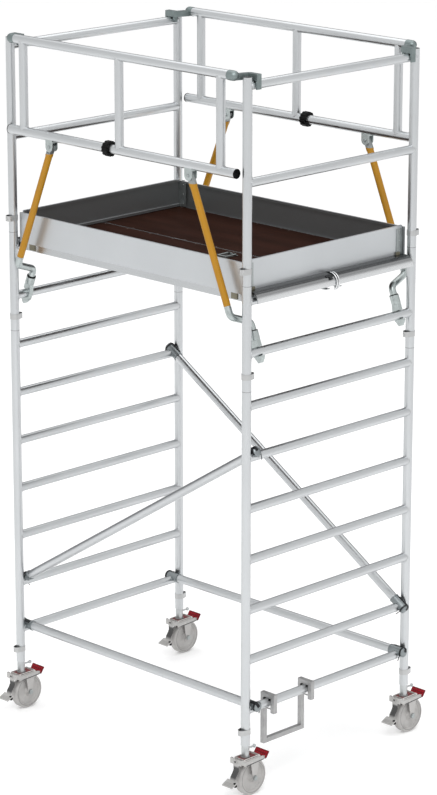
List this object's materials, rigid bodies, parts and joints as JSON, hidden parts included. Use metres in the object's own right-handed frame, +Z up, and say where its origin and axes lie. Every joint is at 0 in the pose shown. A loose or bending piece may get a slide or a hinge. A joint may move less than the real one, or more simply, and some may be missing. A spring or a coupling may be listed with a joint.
{
  "type": "mobile tower scaffold",
  "caption": "Tall wheeled access tower with ladder frames, braces, a decked platform with toe boards and a trapdoor, guardrails with struts, and braked casters.",
  "frame": {"origin": "on the ground, at the middle of the four legs", "axes": "+X along the tower from the left to the right ladder frame, +Y across it from front to back, +Z up"},
  "size_m": [1.9152, 1.5521, 3.9215],
  "materials": {
    "frame_tube": "drawn aluminium tube",
    "guard_tube": "drawn aluminium tube",
    "brace_tube": "drawn aluminium tube",
    "spigot_metal": "mill finish",
    "clip_metal": "pressed band",
    "zinc_steel": "zinc plated",
    "cast_claw": "cast alloy, green grey",
    "caster_metal": "satin grey",
    "caster_wheel": "grey moulded wheel",
    "lever_metal": "satin grey",
    "red_plastic": "moulded",
    "yellow_paint": "gloss enamel",
    "black_plastic": "moulded",
    "board_metal": "extruded",
    "toe_metal": "smooth extruded face",
    "deck_ply": "brown film faced plywood",
    "brass_clip": "passivated",
    "hanger_steel": "galvanised, dull"
  },
  "bodies": {
    "tower": {"left_lower_frame": "frame_tube", "right_lower_frame": "frame_tube", "middle_frames": "frame_tube", "guard_frames": "frame_tube", "frame_spigots": "spigot_metal", "locking_clips": "clip_metal", "caster_stems": "zinc_steel", "horizontal_braces": "brace_tube", "diagonal_braces": "brace_tube", "brace_claws": "cast_claw", "brace_triggers": "zinc_steel", "board_side_rails": "board_metal", "board_end_hooks": "board_metal", "deck_panels": "deck_ply", "deck_cross_bearers": "board_metal", "board_uplift_locks": "zinc_steel", "hatch_hinge_fixed": "zinc_steel", "long_toe_boards": "toe_metal", "end_toe_boards": "toe_metal", "toe_board_corners": "zinc_steel", "toe_board_clips": "brass_clip", "front_guardrail": "guard_tube", "back_guardrail": "guard_tube", "guardrail_end_plugs": "black_plastic", "guardrail_collars": "black_plastic", "guardrail_claws": "cast_claw", "strut_brackets": "cast_claw"},
    "caster_fl": {"caster_fl_fork": "caster_metal", "caster_fl_axle": "zinc_steel"},
    "caster_fl_roller": {"caster_fl_wheel": "caster_wheel"},
    "caster_fl_brake": {"caster_fl_brake_lever": "lever_metal", "caster_fl_release_pad": "red_plastic"},
    "strut_fl": {"strut_fl_tube": "yellow_paint", "strut_fl_hook": "cast_claw"},
    "caster_fr": {"caster_fr_fork": "caster_metal", "caster_fr_axle": "zinc_steel"},
    "caster_fr_roller": {"caster_fr_wheel": "caster_wheel"},
    "caster_fr_brake": {"caster_fr_brake_lever": "lever_metal", "caster_fr_release_pad": "red_plastic"},
    "strut_fr": {"strut_fr_tube": "yellow_paint", "strut_fr_hook": "cast_claw"},
    "caster_br": {"caster_br_fork": "caster_metal", "caster_br_axle": "zinc_steel"},
    "caster_br_roller": {"caster_br_wheel": "caster_wheel"},
    "caster_br_brake": {"caster_br_brake_lever": "lever_metal", "caster_br_release_pad": "red_plastic"},
    "strut_br": {"strut_br_tube": "yellow_paint", "strut_br_hook": "cast_claw"},
    "caster_bl": {"caster_bl_fork": "caster_metal", "caster_bl_axle": "zinc_steel"},
    "caster_bl_roller": {"caster_bl_wheel": "caster_wheel"},
    "caster_bl_brake": {"caster_bl_brake_lever": "lever_metal", "caster_bl_release_pad": "red_plastic"},
    "strut_bl": {"strut_bl_tube": "yellow_paint", "strut_bl_hook": "cast_claw"},
    "hatch": {"hatch_panel": "deck_ply", "hatch_hinge_leaf": "zinc_steel", "hatch_ring_plate": "zinc_steel"},
    "lifting_ring": {"hatch_ring": "zinc_steel"},
    "hanging_step": {"step_hanger": "hanger_steel"}
  },
  "joints": [
    {"name": "caster_fl_swivel", "type": "hinge", "parent": "tower", "child": "caster_fl", "pos_m": [-0.9, -0.636, 0.22], "axis": [0, 0, 1], "continuous": true},
    {"name": "caster_fl_roll", "type": "hinge", "parent": "caster_fl", "child": "caster_fl_roller", "pos_m": [-0.9, -0.598, 0.1], "axis": [1, 0, 0], "continuous": true},
    {"name": "caster_fl_brake_press", "type": "hinge", "parent": "caster_fl", "child": "caster_fl_brake", "pos_m": [-0.9, -0.626, 0.197], "axis": [-1, 0, 0], "range_deg": [0, 10]},
    {"name": "strut_fl_swing", "type": "hinge", "parent": "tower", "child": "strut_fl", "pos_m": [-0.532, -0.676, 3.34], "axis": [0, -1, 0], "range_deg": [0, 50]},
    {"name": "caster_fr_swivel", "type": "hinge", "parent": "tower", "child": "caster_fr", "pos_m": [0.9, -0.636, 0.22], "axis": [0, 0, 1], "continuous": true},
    {"name": "caster_fr_roll", "type": "hinge", "parent": "caster_fr", "child": "caster_fr_roller", "pos_m": [0.9, -0.598, 0.1], "axis": [1, 0, 0], "continuous": true},
    {"name": "caster_fr_brake_press", "type": "hinge", "parent": "caster_fr", "child": "caster_fr_brake", "pos_m": [0.9, -0.626, 0.197], "axis": [-1, 0, 0], "range_deg": [0, 10]},
    {"name": "strut_fr_swing", "type": "hinge", "parent": "tower", "child": "strut_fr", "pos_m": [0.532, -0.676, 3.34], "axis": [0, 1, 0], "range_deg": [0, 50]},
    {"name": "caster_br_swivel", "type": "hinge", "parent": "tower", "child": "caster_br", "pos_m": [0.9, 0.636, 0.22], "axis": [0, 0, 1], "continuous": true},
    {"name": "caster_br_roll", "type": "hinge", "parent": "caster_br", "child": "caster_br_roller", "pos_m": [0.9, 0.674, 0.1], "axis": [1, 0, 0], "continuous": true},
    {"name": "caster_br_brake_press", "type": "hinge", "parent": "caster_br", "child": "caster_br_brake", "pos_m": [0.9, 0.646, 0.197], "axis": [-1, 0, 0], "range_deg": [0, 10]},
    {"name": "strut_br_swing", "type": "hinge", "parent": "tower", "child": "strut_br", "pos_m": [0.532, 0.676, 3.34], "axis": [0, 1, 0], "range_deg": [0, 50]},
    {"name": "caster_bl_swivel", "type": "hinge", "parent": "tower", "child": "caster_bl", "pos_m": [-0.9, 0.636, 0.22], "axis": [0, 0, 1], "continuous": true},
    {"name": "caster_bl_roll", "type": "hinge", "parent": "caster_bl", "child": "caster_bl_roller", "pos_m": [-0.9, 0.674, 0.1], "axis": [1, 0, 0], "continuous": true},
    {"name": "caster_bl_brake_press", "type": "hinge", "parent": "caster_bl", "child": "caster_bl_brake", "pos_m": [-0.9, 0.646, 0.197], "axis": [-1, 0, 0], "range_deg": [0, 10]},
    {"name": "strut_bl_swing", "type": "hinge", "parent": "tower", "child": "strut_bl", "pos_m": [-0.532, 0.676, 3.34], "axis": [0, -1, 0], "range_deg": [0, 50]},
    {"name": "hatch_lift", "type": "hinge", "parent": "tower", "child": "hatch", "pos_m": [0.23, -0.588, 2.776], "axis": [1, 0, 0], "range_deg": [0, 92]},
    {"name": "hatch_ring_lift", "type": "hinge", "parent": "hatch", "child": "lifting_ring", "pos_m": [0.23, -0.066, 2.7782], "axis": [-1, 0, 0], "range_deg": [0, 90]},
    {"name": "step_hanger_swing", "type": "hinge", "parent": "tower", "child": "hanging_step", "pos_m": [0.9, -0.3115, 0.487], "axis": [0, 1, 0], "range_deg": [-60, 60]}
  ]
}
